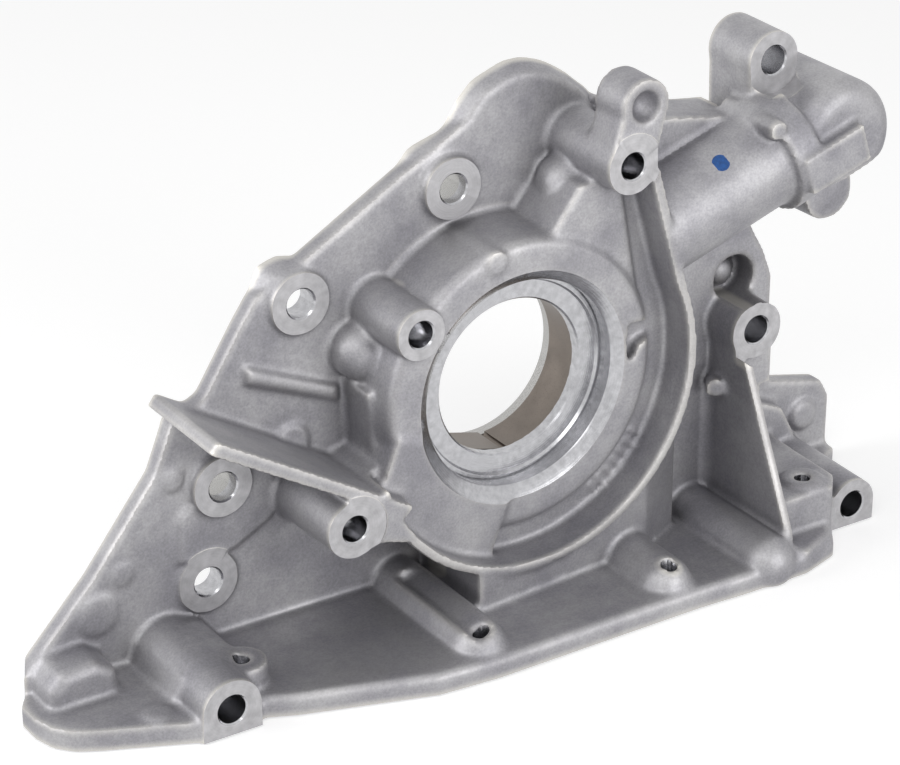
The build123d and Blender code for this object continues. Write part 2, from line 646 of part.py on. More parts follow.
def make_block_dowel(index):
    """Hollow dowel round a bolt on the block face."""
    x, z, front = plate_seats[index]
    body = round_bar(x, z, block_dowel_radius, block_dowel_stand_out, -block_dowel_depth + 0.2)
    body = chamfer(body.edges(), 0.4)
    return (body - round_bar(x, z, bolt_hole_radius + 0.5, 9.0, -9.0)).solid()


def make_outlet_ring():
    """O-ring in the outlet groove of the block face."""
    x, z = tube_point(elbow_distance)
    place = Plane(origin=(x, -ring_groove_depth + ring_section_radius, z), z_dir=(0, -1, 0))
    return (place * Torus(outlet_ring_radius, ring_section_radius - 0.05)).solid()


def make_inlet_ring():
    """O-ring in the inlet groove on the sump face."""
    x, y = inlet_position
    place = Pos(x, y, sump_face + ring_groove_depth - ring_section_radius)
    return (place * Torus(inlet_ring_radius, ring_section_radius - 0.05)).solid()


def make_parts():
    """All sub-parts by node name."""
    parts = {
        "casing": make_casing(),
        "inner_rotor": make_inner_rotor(),
        "outer_rotor": make_outer_rotor(),
        "rear_cover": make_rear_cover(),
        "cover_screws": make_cover_screws(),
        "cover_dowels": make_cover_dowels(),
        "relief_piston": make_relief_piston(),
        "relief_spring": make_relief_spring(),
        "relief_plug": make_relief_plug(),
        "outlet_o_ring": make_outlet_ring(),
        "inlet_o_ring": make_inlet_ring(),
    }
    for number, index in enumerate(block_dowel_seats, start=1):
        parts[f"block_dowel_{number}"] = make_block_dowel(index)
    return parts


os.makedirs("parts", exist_ok=True)
for name, shape in make_parts().items():
    export_step(shape, f"parts/{name}.step")
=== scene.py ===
import json
from math import cos, pi, radians, sin

import bmesh
import bpy
import numpy as np
from bpy.props import FloatProperty, FloatVectorProperty, IntProperty, PointerProperty
from mathutils import Matrix, Vector


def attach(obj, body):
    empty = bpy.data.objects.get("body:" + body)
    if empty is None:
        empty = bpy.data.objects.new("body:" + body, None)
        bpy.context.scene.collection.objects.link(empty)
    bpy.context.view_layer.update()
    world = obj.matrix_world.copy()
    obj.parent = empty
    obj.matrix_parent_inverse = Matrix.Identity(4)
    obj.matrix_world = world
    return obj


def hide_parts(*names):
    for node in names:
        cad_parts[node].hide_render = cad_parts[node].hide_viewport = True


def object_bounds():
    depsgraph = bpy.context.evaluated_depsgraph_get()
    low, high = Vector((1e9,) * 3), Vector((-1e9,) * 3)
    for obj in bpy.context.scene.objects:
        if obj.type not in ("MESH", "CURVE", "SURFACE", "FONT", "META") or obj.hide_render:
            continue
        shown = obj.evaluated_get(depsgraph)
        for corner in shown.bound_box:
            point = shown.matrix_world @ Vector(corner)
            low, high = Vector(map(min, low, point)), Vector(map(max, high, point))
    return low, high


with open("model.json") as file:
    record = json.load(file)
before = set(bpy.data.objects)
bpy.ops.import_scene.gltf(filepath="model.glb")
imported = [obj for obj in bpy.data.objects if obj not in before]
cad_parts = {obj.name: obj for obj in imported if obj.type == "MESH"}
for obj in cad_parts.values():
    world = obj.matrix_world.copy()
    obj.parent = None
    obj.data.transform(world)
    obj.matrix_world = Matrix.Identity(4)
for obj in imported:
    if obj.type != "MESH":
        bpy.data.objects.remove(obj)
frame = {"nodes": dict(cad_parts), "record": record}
cad_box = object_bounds()

bl_info = {
    "name": "Engine oil pump",
    "version": (1, 0, 0),
    "blender": (4, 5, 0),
    "location": "3D View > Sidebar > Oil pump",
    "description": "Finishes for the die-cast engine oil pump and its studio",
    "category": "Object",
}

MM = 0.001
MOUNTS = {mount["name"]: mount for mount in frame["record"]["mounts"]}
CASING = frame["nodes"]["casing"]
SUMP_THREADS = tuple("sump_thread_%d" % number for number in range(1, 5))

# The sizes below are in mm. Levels along Y are negative towards the front, and distances are positive.

# Machined front faces: face radius, and whether the face runs down to the sump flange
BOSS_FACES = {
    "plate_bolt_1": (9.4, False),
    "plate_bolt_2": (9.4, False),
    "plate_bolt_3": (9.4, False),
    "plate_bolt_4": (9.4, False),
    "foot_bolt": (9.3, True),
    "right_bolt": (9.2, False),
    "corner_bolt": (8.6, True),
    "tube_bolt": (9.0, False),
    "cover_thread_1": (9.0, False),
    "cover_thread_2": (7.8, False),
    "cover_thread_3": (8.6, False),
}

# Plate holes with a seat for a hollow dowel at the block face, and the seat's radius and depth
DOWEL_SEATS = ("plate_bolt_1", "plate_bolt_3")
DOWEL_RADIUS = 6.54
DOWEL_DEPTH = 5.0

# Level of the sump face along Z, and how far below it the straight part of a boss face is cut
SUMP_FACE = -72.0
BELOW_SUMP = 5.0

# Turned seal seat in the hub: radii, and distances in front of the block face
HUB_FRONT = 29.0
SEAL_MOUTH = 36.0
SEAL_BORE = 32.5
SEAL_LAND = 31.0
LIP_BORE = 24.6
MOUTH_END = 27.0
BORE_START = 26.4
GROOVE_START = 23.4
SEAL_FLOOR = 22.0
LIP_FACE = 21.2
POCKET_FLOOR = 17.0

# Small steps of the seal seat: chamfers, and the depth and ramp of the groove at its floor
SEAT_CHAMFER = 0.5
LAND_CHAMFER = 0.6
GROOVE_DEPTH = 0.35
GROOVE_RAMP = 0.4

# Rotor pocket and cover recess: radii, the pocket's centre in X and Z, and distances from the block face
POCKET_RADIUS = 37.58
POCKET_CENTRE = (-1.414, 1.414)
POCKET_START = 3.0
COVER_RADIUS = 49.05
COVER_DEPTH = 4.0

# Relief bore: its place in X and Y, radii, the plug's depth and the level of the valve seat along Z
RELIEF_PLACE = (24.0, -13.0)
RELIEF_BORE = 8.0
RELIEF_SEAT = -42.0
PLUG_RADIUS = 9.5
PLUG_DEPTH = 7.5

# Ports: which way they run in, and the level of their face along that way
PORTS = {
    "outlet_port": (Vector((0, -1, 0)), 0.0),
    "inlet_port": (Vector((0, 0, 1)), SUMP_FACE),
}
PORT_CHAMFER = 0.8
PORT_DEPTH = 12.0

# Ring grooves round the ports: middle radius, half width and depth
RING_RADIUS = 11.5
RING_HALF = 1.3
RING_DEPTH = 2.0

# Raw metal that closes the holes: past a hole's radius and length, and past the block face at most
FILL_WALL = 1.0
FILL_END = 2.5
FILL_BEHIND = 1.0

# Raw metal elsewhere: radius in the plate, which also closes a dowel seat, reach into a boss,
# radius and length in the sump face, and wall and back of the disc in the hub
FILL_PLATE = 7.4
FILL_BOSS = 0.5
FILL_SUMP = (3.4, 9.0)
FILL_HUB_WALL = 1.2
FILL_HUB_BACK = 19.0

# Cutting tools: start outside a face, run past a through hole, drill point, and room at the sump holes
TOOL_START = 1.0
TOOL_PAST = 2.0
DRILL_POINT = 2.4
SUMP_START = 2.0
SUMP_PAST = 3.0

# Facing cutter: wider than the boss by, and its height
FACING_WIDER = 1.4
FACING_HEIGHT = 6.0

# Milling cuts: a box that holds the casing with room to spare, and the height of a cut
ROOM_LOW = (-200.0, -90.0, -90.0)
ROOM_HIGH = (180.0, 20.0, 130.0)
MILLING_HEIGHT = 12.0

# Radius within which a face belongs to a hole's tool, and to the tool on the crank axis
HOLE_REACH = 14.5
CRANK_REACH = 50.5

# Countersunk M5 cover screws: head, shank with its start inside the head, hexagon socket,
# and the angle of the first screw on its circle in degrees
HEAD_RADIUS = 4.6
HEAD_DEPTH = 2.3
SHANK_RADIUS = 2.5
SHANK_LENGTH = 12.5
SHANK_START = 0.3
SOCKET_RADIUS = 1.7
SOCKET_DEPTH = 3.4
FIRST_SCREW = 15.0

# Outlet tube: a point on its axis, its lean from the sump flange in degrees and its radius
TUBE_POINT = (91.0, -22.0, 51.0)
TUBE_LEAN = 18.5
TUBE_RADIUS = 16.0

# Inspection dot: distance along the tube from that point, turn up from the front in degrees,
# and its profile as a share of its radius and a height over the metal
DOT_DISTANCE = -20.8
DOT_TURN = 53.0
DOT_PROFILE = ((0.0, 0.12), (0.6, 0.08), (1.0, -0.1), (1.0, -0.6), (0.0, -0.6))

# Points nearer than this are one, and a point this near to a machined face lies on it, in m
WELD = 1e-7
ON_FACE = 1e-6

# CAD points this near to a hole, in mm, belong to its rim
RIM_REACH = 0.2

# Studio: softboxes with place in m and power in W, their width and aim in m, and the size of the floor
SOFTBOXES = {
    "front_softbox": ((0.28, -1.03, 0.28), 4.2),
    "left_softbox": ((-1.02, 0.18, 0.38), 4.6),
    "high_softbox": ((-0.62, -0.55, 0.78), 2.0),
}
SOFTBOX_WIDTH = 0.5
SOFTBOX_AIM = (0.0, -0.02, 0.0)
FLOOR_SIZE = 4.0

# Paper of the floor, its glow to the camera, and the world's strength as light on the part
FLOOR_TONE = "#E4E4E4"
FLOOR_GLOW = 0.4
WORLD_FILL = 0.55
WHITE = (1.0, 1.0, 1.0, 1.0)

# The photograph's view: lens and sensor in mm, place in m, tilt up from straight down and turn in degrees
CAMERA_LENS = 121.6
CAMERA_SENSOR = 36.0
CAMERA_PLACE = (-0.45370, -0.68745, 0.38600)
CAMERA_TILT = 64.3
CAMERA_TURN = -33.0


def linear(code):
    """sRGB hex colour as linear RGBA."""
    values = [int(code[i:i + 2], 16) / 255.0 for i in (1, 3, 5)]
    return [v / 12.92 if v <= 0.04045 else ((v + 0.055) / 1.055) ** 2.4 for v in values] + [1.0]


def colour(name, description, code):
    """Colour setting with an sRGB hex default."""
    return FloatVectorProperty(name=name, description=description, subtype="COLOR", size=4,
                               default=linear(code))


class OilPumpSizes(bpy.types.PropertyGroup):
    """Sizes and counts of the finishing work; lengths are in millimetres."""

    grid: FloatProperty(name="Casting grid", description="Grid of the cast skin in mm", default=0.9, min=0.5)
    rounding: IntProperty(name="Casting rounding", description="Rounds of smoothing of the cast edges",
                          default=7)
    faces: IntProperty(name="Casting faces", description="Triangles left in the cast skin", default=150000)
    stock: FloatProperty(name="Machining stock", description="Metal taken off machined faces in mm",
                         default=1.6)
    chamfer: FloatProperty(name="Hole chamfer", description="Chamfer at the mouth of a hole in mm",
                           default=0.5)
    screws: IntProperty(name="Cover screws", description="Number of screws in the rear cover", default=6)
    screw_circle: FloatProperty(name="Screw circle", description="Radius of the screw circle in mm",
                                default=43.0)
    dot: FloatProperty(name="Paint dot", description="Radius of the inspection dot in mm", default=2.7)


class OilPumpLooks(bpy.types.PropertyGroup):
    """Colours of the finishes."""

    cast: colour("Cast skin", "Shot-blasted die-cast aluminium", "#AFAEB0")
    cast_cloud: colour("Cast clouds", "Darker flow clouds of the casting", "#929196")
    # Edge colour: blasting wear and a painted highlight on every convex edge
    edge_wear_and_highlight: colour("Cast edges", "Edges rubbed bright by the blasting", "#DAD7D0")
    # Painted shade for concave corners, not a colour of the metal
    painted_corner_shade: colour("Cast corners", "Dark die skin left in the corners", "#605F63")
    machined: colour("Machined aluminium", "Bare cut aluminium", "#BEBEC1")
    faced: colour("Faced aluminium", "Satin boss faces", "#B2B1B3")
    sintered: colour("Sintered steel", "Steam-treated sintered steel", "#7E766F")
    steel: colour("Ground steel", "Ground bright steel", "#B4B3B1")
    zinc: colour("Zinc flake", "Zinc flake coat of screws", "#8D8F90")
    wire: colour("Spring wire", "Drawn spring steel", "#77777A")
    rubber: colour("Seal rubber", "Black nitrile rubber", "#1B1B1C")
    paint: colour("Inspection paint", "Blue inspection paint", "#174C8C")


def sizes():
    """The size settings of the scene."""
    return bpy.context.scene.oil_pump_sizes


def looks():
    """The colour settings of the scene."""
    return bpy.context.scene.oil_pump_looks


# Node trees


def add(tree, kind, settings=None, links=None):
    """Add a node with its settings and its inputs, each a value or a socket to link from."""
    new = tree.nodes.new(kind)
    for name, value in (settings or {}).items():
        setattr(new, name, value)
    for name, value in (links or {}).items():
        socket = new.inputs[name]
        if isinstance(value, bpy.types.NodeSocket):
            tree.links.new(value, socket)
        else:
            socket.default_value = value
    return new


def new_material(name):
    """Material with an empty node tree, and that tree."""
    material = bpy.data.materials.new(name)
    material.use_nodes = True
    tree = material.node_tree
    tree.nodes.clear()
    return material, tree


def show(tree, shader):
    """End a material's tree with the shader that it shows."""
    add(tree, "ShaderNodeOutputMaterial", None, {"Surface": shader})


def coat(tree, base, roughness, more):
    """End a material's tree with a surface of a colour and a roughness; more holds its other inputs."""
    surface = add(tree, "ShaderNodeBsdfPrincipled", None,
                  {"Base Color": base, "Roughness": roughness, **more})
    show(tree, surface.outputs[0])


def scaled(tree, value, factor):
    """A vector or a colour times a factor."""
    return add(tree, "ShaderNodeVectorMath", {"operation": "SCALE"}, {0: value, "Scale": factor}).outputs[0]


def in_millimetres(tree):
    """Object coordinates in millimetres."""
    return scaled(tree, add(tree, "ShaderNodeTexCoord").outputs["Object"], 1.0 / MM)


def from_tool(tree):
    """Where a machined face lies from its tool's axis, in millimetres; tool_places writes it."""
    place = add(tree, "ShaderNodeAttribute", {"attribute_name": "tool_place"})
    return scaled(tree, place.outputs["Vector"], 1.0 / MM)


def noise(tree, place, size, detail, roughness=0.5):
    """Noise with clouds of a size in mm."""
    clouds = add(tree, "ShaderNodeTexNoise", None,
                 {"Vector": place, "Scale": 1.0 / size, "Detail": detail, "Roughness": roughness})
    return clouds.outputs["Fac"]


def cells(tree, place, size, feature="F1"):
    """Voronoi cells of a size in mm."""
    return add(tree, "ShaderNodeTexVoronoi", {"feature": feature}, {"Vector": place, "Scale": 1.0 / size})


def ring_marks(tree, place, spacing, direction, waver, detail_scale=1.0):
    """Rings of a cutting tool, a spacing in mm apart; waver says how uneven they are."""
    # A wave texture of scale 1 draws about three rings in a length of 1
    scale = 1.0 / spacing / 3.0
    waves = add(tree, "ShaderNodeTexWave", {"wave_type": "RINGS", "rings_direction": direction},
                {"Vector": place, "Scale": scale, "Distortion": waver, "Detail Scale": detail_scale})
    return waves.outputs["Fac"]


def spread(tree, value, start, stop, low=0.0, high=1.0):
    """A value between low and high, taken to the range from start to stop."""
    taken = add(tree, "ShaderNodeMapRange", None,
                {"Value": value, "From Min": low, "From Max": high, "To Min": start, "To Max": stop})
    return taken.outputs[0]


def swing(tree, value, start, stop):
    """Noise taken to the range from start to stop; most of its values lie between 0.3 and 0.7."""
    return spread(tree, value, start, stop, 0.3, 0.7)


def mixed(tree, share, first, second):
    """Two colours mixed by a share."""
    return add(tree, "ShaderNodeMix", {"data_type": "RGBA"}, {0: share, 6: first, 7: second}).outputs[2]


def bump(tree, height, strength, depth, below=None):
    """Normal of a relief with a depth in mm, on top of another one below it."""
    links = {"Strength": strength, "Distance": depth * MM, "Height": height}
    if below:
        links["Normal"] = below
    return add(tree, "ShaderNodeBump", None, links).outputs[0]


def openness(tree, width, inside):
    """How open a point lies within a width in mm, seen from inside the metal or from outside."""
    light = add(tree, "ShaderNodeAmbientOcclusion", {"samples": 6, "inside": inside, "only_local": True},
                {"Distance": width * MM})
    return light.outputs["AO"]


def seen_rays(tree):
    """1 for the rays of the camera, in reflections and through glass, and 0 for light on the part."""
    ray = add(tree, "ShaderNodeLightPath")
    seen = add(tree, "ShaderNodeMath", {"operation": "MAXIMUM"},
               {0: ray.outputs["Is Camera Ray"], 1: ray.outputs["Is Glossy Ray"]})
    shown = add(tree, "ShaderNodeMath", {"operation": "MAXIMUM"},
                {0: seen.outputs[0], 1: ray.outputs["Is Transmission Ray"]})
    return shown.outputs[0]


# Materials


def cast_aluminium():
    """Shot-blasted die-cast aluminium: a matt grey skin with fine grain and soft clouds, edges lightened by
    blasting wear and a painted highlight, and painted shade in the corners.
    """
    material, tree = new_material("shot_blasted_die_cast_aluminium")
    place = in_millimetres(tree)
    # Blasting grit leaves marks of about 0.2 mm; they are drawn at 0.7 mm so that the render shows them
    grain = noise(tree, place, 0.7, detail=3.0, roughness=0.65)
    # Metal flow clouds of a few centimetres
    cloud = noise(tree, place, 22.0, detail=5.0, roughness=0.6)
    # Pits and nubs of the die skin, 2.4 mm apart
    peel = cells(tree, place, 2.4, "SMOOTH_F1")
    body = mixed(tree, spread(tree, cloud, 0.0, 1.0, 0.35, 0.68), looks().cast_cloud, looks().cast)
    speckled = scaled(tree, body, swing(tree, grain, 0.87, 1.13))
    # Convex edges lighter and a little warmer over a width of about 2 mm: partly wear from the blasting,
    # partly a painted highlight
    wear_and_highlight = spread(tree, openness(tree, 2.2, inside=True), 0.0, 0.8, 0.92, 0.55)
    rubbed_and_highlit = mixed(tree, wear_and_highlight, speckled, looks().edge_wear_and_highlight)
    # Painted shade that darkens the concave corners, over a width of 5 mm
    corner_shade = spread(tree, openness(tree, 5.0, inside=False), 0.0, 0.6, 0.85, 0.4)
    # The skin colour carries the painted shade of the corners and the painted highlight of the edges
    skin = mixed(tree, corner_shade, rubbed_and_highlit, looks().painted_corner_shade)
    low = bump(tree, peel.outputs["Distance"], strength=0.35, depth=0.12)
    fine = bump(tree, grain, strength=0.5, depth=0.08, below=low)
    coat(tree, skin, swing(tree, cloud, 0.64, 0.5), {"Metallic": 0.92, "Normal": fine})
    return material


def turned_aluminium():
    """Turned or drilled aluminium: bright metal with fine rings round the tool's axis."""
    material, tree = new_material("turned_aluminium")
    place = from_tool(tree)
    # Feed marks are 0.1 mm apart; they are drawn at 0.7 mm so that the render shows them
    rings = ring_marks(tree, place, 0.7, "Z", waver=0.6, detail_scale=0.4)
    # Handling marks of 2 mm
    stain = noise(tree, place, 2.0, detail=3.0)
    tint = scaled(tree, looks().machined[:3], swing(tree, stain, 0.82, 1.06))
    relief = bump(tree, rings, strength=0.15, depth=0.02)
    coat(tree, tint, spread(tree, rings, 0.18, 0.27), {"Metallic": 1.0, "Normal": relief})
    return material


def faced_aluminium():
    """Spot-faced bosses: satin aluminium, a little brighter and smoother than the cast skin."""
    material, tree = new_material("spot_faced_aluminium")
    place = from_tool(tree)
    # Feed marks are 0.1 mm apart; they are drawn at 0.9 mm so that the render shows them
    rings = ring_marks(tree, place, 0.9, "Z", waver=1.5)
    # Handling marks of 3 mm
    stain = noise(tree, place, 3.0, detail=4.0)
    tint = scaled(tree, looks().faced[:3], swing(tree, stain, 0.84, 1.12))
    coat(tree, tint, spread(tree, rings, 0.44, 0.52), {"Metallic": 1.0})
    return material


def milled_aluminium():
    """Face-milled aluminium: flat bright metal crossed by wide arcs of the cutter."""
    material, tree = new_material("milled_aluminium")
    place = in_millimetres(tree)
    # Arcs 1.5 mm apart, round a centre well outside the part
    far = add(tree, "ShaderNodeVectorMath", {"operation": "ADD"}, {0: place, 1: (160.0, 60.0, 190.0)})
    arcs = ring_marks(tree, far.outputs[0], 1.5, "SPHERICAL", waver=0.4)
    # Coolant stains of 16 mm
    stain = noise(tree, place, 16.0, detail=4.0)
    tint = scaled(tree, looks().machined[:3], swing(tree, stain, 0.84, 1.04))
    relief = bump(tree, arcs, strength=0.25, depth=0.02)
    coat(tree, tint, spread(tree, arcs, 0.26, 0.4), {"Metallic": 1.0, "Normal": relief})
    return material


def sintered_steel():
    """Pressed and sintered steel: brownish grey metal with open pores and a faint oil film."""
    material, tree = new_material("sintered_steel")
    place = in_millimetres(tree)
    # Pores are under 0.1 mm; they are drawn at 0.5 mm so that the render shows them
    pores = cells(tree, place, 0.5)
    pit = spread(tree, pores.outputs["Distance"], 0.55, 1.0, 0.05, 0.3)
    # Oil film in patches of 9 mm
    film = noise(tree, place, 9.0, detail=4.0)
    both = add(tree, "ShaderNodeMath", {"operation": "MULTIPLY"}, {0: pit, 1: swing(tree, film, 0.78, 1.12)})
    tint = scaled(tree, looks().sintered[:3], both.outputs[0])
    relief = bump(tree, pit, strength=0.4, depth=0.03)
    coat(tree, tint, swing(tree, film, 0.3, 0.46), {"Metallic": 1.0, "Normal": relief})
    return material


def ground_steel():
    """Surface-ground steel: bright metal with straight fine scratches along the wheel's path."""
    material, tree = new_material("ground_steel")
    place = in_millimetres(tree)
    # Grinding lines are finer than 0.1 mm; they are drawn at 0.35 mm across and 40 mm long
    drawn = add(tree, "ShaderNodeMapping", None, {"Vector": place, "Scale": (1 / 40.0, 1 / 0.35, 1 / 0.35)})
    lines = noise(tree, drawn.outputs[0], 1.0, detail=3.0)
    tint = scaled(tree, looks().steel[:3], swing(tree, lines, 0.86, 1.08))
    scratch = bump(tree, lines, strength=0.2, depth=0.01)
    coat(tree, tint, swing(tree, lines, 0.2, 0.36), {"Metallic": 1.0, "Normal": scratch})
    return material


def zinc_flake():
    """Zinc flake coat on screws and plugs: matt silver grey with a fine sparkle."""
    material, tree = new_material("zinc_flake_coated_steel")
    # Flakes are a few hundredths of a millimetre; they are drawn at 0.3 mm so that the render shows them
    flakes = cells(tree, in_millimetres(tree), 0.3)
    shade = add(tree, "ShaderNodeSeparateColor", None, {0: flakes.outputs["Color"]})
    tint = scaled(tree, looks().zinc[:3], spread(tree, shade.outputs[0], 0.84, 1.1))
    coat(tree, tint, spread(tree, shade.outputs[1], 0.38, 0.52), {"Metallic": 0.95})
    return material


def spring_wire():
    """Drawn spring wire: dark grey steel, unevenly bright from the drawing die."""
    material, tree = new_material("drawn_spring_steel")
    # Drawing marks of 0.2 mm
    marks = noise(tree, in_millimetres(tree), 0.2, detail=2.0)
    tint = scaled(tree, looks().wire[:3], swing(tree, marks, 0.8, 1.15))
    coat(tree, tint, 0.32, {"Metallic": 1.0})
    return material


def nitrile_rubber():
    """Moulded nitrile rubber: black with a soft sheen and a faint bloom."""
    material, tree = new_material("nitrile_rubber")
    # Bloom clouds of 3 mm
    bloom = noise(tree, in_millimetres(tree), 3.0, detail=3.0)
    tint = scaled(tree, looks().rubber[:3], swing(tree, bloom, 0.8, 1.5))
    coat(tree, tint, swing(tree, bloom, 0.42, 0.6), {"IOR": 1.52})
    return material


def inspection_paint():
    """Inspection paint dabbed on the metal: uneven blue, glossier in some places than in others."""
    material, tree = new_material("inspection_paint")
    # Brush unevenness of 1 mm
    dab = noise(tree, in_millimetres(tree), 1.0, detail=3.0)
    tint = scaled(tree, looks().paint[:3], swing(tree, dab, 0.75, 1.25))
    coat(tree, tint, spread(tree, dab, 0.35, 0.6), {"IOR": 1.5})
    return material


def pale_floor():
    """Pale studio floor: it keeps the part's shadow, and glows to the camera and in reflections."""
    material, tree = new_material("pale_floor")
    # Paper fibre of 4 mm
    fibre = noise(tree, in_millimetres(tree), 4.0, detail=2.0)
    tint = scaled(tree, linear(FLOOR_TONE)[:3], spread(tree, fibre, 0.985, 1.0))
    paper = add(tree, "ShaderNodeBsdfDiffuse", None, {"Color": tint})
    glow = add(tree, "ShaderNodeEmission", None, {"Color": WHITE, "Strength": FLOOR_GLOW})
    lift = add(tree, "ShaderNodeMixShader", None, {0: seen_rays(tree), 2: glow.outputs[0]})
    both = add(tree, "ShaderNodeAddShader", None, {0: paper.outputs[0], 1: lift.outputs[0]})
    show(tree, both.outputs[0])
    return material


FINISHES = {
    "cast": cast_aluminium,
    "turned": turned_aluminium,
    "faced": faced_aluminium,
    "milled": milled_aluminium,
    "sintered": sintered_steel,
    "ground": ground_steel,
    "zinc": zinc_flake,
    "spring": spring_wire,
    "rubber": nitrile_rubber,
    "paint": inspection_paint,
    "floor": pale_floor,
}
made_finishes = {}


def finish(name):
    """The material of a finish, made on its first use."""
    if name not in made_finishes:
        made_finishes[name] = FINISHES[name]()
    return made_finishes[name]


# Meshes


def new_object(name, data):
    """Object at the origin, linked to the scene."""
    made = bpy.data.objects.new(name, data)
    bpy.context.scene.collection.objects.link(made)
    return made


def remove_object(piece):
    """Remove an object and its mesh."""
    mesh = piece.data
    bpy.data.objects.remove(piece)
    bpy.data.meshes.remove(mesh)


def apply_modifiers(piece):
    """Turn the object with its modifiers into a plain mesh."""
    shown = piece.evaluated_get(bpy.context.evaluated_depsgraph_get())
    mesh = bpy.data.meshes.new_from_object(shown)
    old = piece.data
    piece.modifiers.clear()
    piece.data = mesh
    bpy.data.meshes.remove(old)


def lathe(shape, profile, origin, axis, segments=72, ring=False):
    """Add a solid turned from (radius, distance) pairs in mm round an axis; ring closes the profile."""
    along = Vector(axis).normalized()
    side = along.orthogonal().normalized()
    across = along.cross(side)
    centre = Vector(origin)
    turns = [2.0 * pi * i / segments for i in range(segments)]
    rows = []
    for radius, distance in profile:
        middle = centre + along * distance * MM
        if radius == 0.0:
            rows.append([shape.verts.new(middle)])
        else:
            rows.append([shape.verts.new(middle + (side * cos(t) + across * sin(t)) * radius * MM)
                         for t in turns])
    pairs = list(zip(rows, rows[1:]))
    if ring:
        pairs.append((rows[-1], rows[0]))
    for first, second in pairs:
        for i in range(segments):
            j = (i + 1) % segments
            corners = [first[i % len(first)], first[j % len(first)],
                       second[j % len(second)], second[i % len(second)]]
            # A row on the axis is one point, so its face is a triangle
            shape.faces.new(list(dict.fromkeys(corners)))


def rod(shape, radius, start, end, origin, axis, segments=72):
    """Add a closed cylinder between two distances in mm along an axis."""
    lathe(shape, [(0.0, start), (radius, start), (radius, end), (0.0, end)], origin, axis, segments)


def block(shape, low, high):
    """Add a box between two corners in mm."""
    size = [(b - a) * MM for a, b in zip(low, high)]
    middle = [(a + b) / 2.0 * MM for a, b in zip(low, high)]
    place = Matrix.Translation(middle) @ Matrix.Diagonal((*size, 1.0))
    bmesh.ops.create_cube(shape, size=1.0, matrix=place)


def solid_object(name, shape, material):
    """Object from a bmesh of closed solids, with outward normals."""
    bmesh.ops.recalc_face_normals(shape, faces=shape.faces)
    mesh = bpy.data.meshes.new(name)
    shape.to_mesh(mesh)
    shape.free()
    mesh.materials.append(material)
    return new_object(name, mesh)


def cut(piece, shape, name):
    """Take closed solids out of the piece; the new faces get the named finish."""
    tool = solid_object("cutter", shape, finish(name))
    change = piece.modifiers.new("cut", "BOOLEAN")
    change.operation = "DIFFERENCE"
    change.solver = "MANIFOLD"
    change.material_mode = "TRANSFER"
    change.object = tool
    apply_modifiers(piece)
    remove_object(tool)


def smooth_by_angle(piece, angle):
    """Smooth shading with sharp edges above an angle in degrees."""
    piece.data.shade_smooth()
    piece.data.set_sharp_from_angle(angle=radians(angle))


def mesh_points(mesh):
    """The mesh's points as rows of an array, in m."""
    points = np.empty(len(mesh.vertices) * 3, np.float32)
    mesh.vertices.foreach_get("co", points)
    return points.reshape(-1, 3)


def put_finish(node, name):
    """Give a CAD node a finish."""
    slots = frame["nodes"][node].data.materials
    slots.clear()
    slots.append(finish(name))


# Casing


def front_level(name):
    """Level in mm of a boss face: the foremost point of the CAD casing at the rim of its hole."""
    mount = MOUNTS[name]
    x, _, z = mount["pos_m"]
    reach = (mount["dims"]["r_mm"] + RIM_REACH) * MM
    points = mesh_points(CASING.data)
    near = np.hypot(points[:, 0] - x, points[:, 2] - z) < reach
    return float(points[near, 1].min()) / MM


def boss_disc(shape, name, wider, back, front):
    """Add the round part of a boss face as a solid between two levels."""
    x, _, z = MOUNTS[name]["pos_m"]
    rod(shape, BOSS_FACES[name][0] + wider, 0.0, back - front, (x, back * MM, z), (0, -1, 0))


def boss_foot(shape, name, wider, back, front):
    """Add the straight part of a boss face that runs down to the sump flange."""
    x, _, z = (value / MM for value in MOUNTS[name]["pos_m"])
    radius, to_sump = BOSS_FACES[name]
    if to_sump:
        block(shape, (x - radius - wider, front, SUMP_FACE - BELOW_SUMP), (x + radius + wider, back, z))


def raw_metal(shape, stock):
    """Close the holes and the hub and thicken the boss faces, so that the machining has metal to cut."""
    for name in BOSS_FACES:
        mount = MOUNTS[name]
        x, _, z = mount["pos_m"]
        radius = FILL_PLATE if name.startswith("plate") else mount["dims"]["r_mm"] + FILL_WALL
        front = front_level(name)
        back = min(front + mount["dims"]["length_mm"] + FILL_END, FILL_BEHIND)
        rod(shape, radius, 0.0, back - front, (x, back * MM, z), (0, -1, 0))
        boss_disc(shape, name, 0.0, front + FILL_BOSS, front - stock)
        boss_foot(shape, name, 0.0, front + FILL_BOSS, front - stock)
    rod(shape, SEAL_MOUTH + FILL_HUB_WALL, FILL_HUB_BACK, HUB_FRONT, (0, 0, 0), (0, -1, 0))
    radius, length = FILL_SUMP
    for name in SUMP_THREADS:
        x, y, _ = MOUNTS[name]["pos_m"]
        rod(shape, radius, 0.0, length, (x, y, (SUMP_FACE - TOOL_START) * MM), (0, 0, 1))


